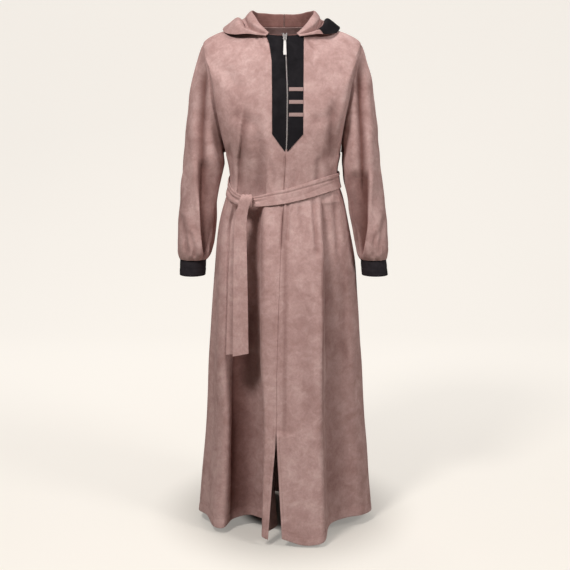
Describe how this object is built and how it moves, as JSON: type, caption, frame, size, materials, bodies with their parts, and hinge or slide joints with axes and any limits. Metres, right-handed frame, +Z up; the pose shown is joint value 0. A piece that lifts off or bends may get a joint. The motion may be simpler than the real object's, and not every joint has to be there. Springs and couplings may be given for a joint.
{
  "type": "hooded abaya",
  "caption": "Long hooded abaya in soft suede cloth, worn and belted: pointed zip placket, gathered sleeves with cuffs, tied belt and front slit.",
  "frame": {"origin": "between the shoulders, where the neck seam meets the shoulder seams, where the wearer's shoulders carry the garment", "axes": "+Z up along the garment, -Y the way its front faces, +X to the right of someone who faces it"},
  "size_m": [0.5936, 0.4675, 1.4443],
  "materials": {
    "rose_suede": "dusty rose imitation suede, short mottled nap, soft sheen",
    "black_cloth": "black imitation suede, matt",
    "stripe_cloth": "pale rose satin-like tape",
    "zip_metal": "bright nickel plating"
  },
  "bodies": {
    "garment": {"front_left": "rose_suede", "front_right": "rose_suede", "back": "rose_suede", "sleeve_left": "rose_suede", "sleeve_right": "rose_suede", "cuff_left": "black_cloth", "cuff_right": "black_cloth", "placket_left": "black_cloth", "placket_right": "black_cloth", "zip_chain": "zip_metal", "stripe_1": "stripe_cloth", "stripe_2": "stripe_cloth", "stripe_3": "stripe_cloth", "hood_left": "rose_suede", "hood_right": "rose_suede", "hood_facing_left": "black_cloth", "hood_facing_back": "black_cloth", "hood_facing_right": "black_cloth", "belt": "rose_suede", "belt_knot": "rose_suede", "belt_tail_front": "rose_suede", "belt_tail_back": "rose_suede", "zip_slider": "zip_metal"},
    "zip_pull": {"zip_pull": "zip_metal"}
  },
  "joints": [
    {"name": "pull_hinge", "type": "hinge", "parent": "garment", "child": "zip_pull", "pos_m": [0.00247, -0.08825, -0.02853], "axis": [-1, 0, 0], "range_deg": [0, 125]}
  ]
}
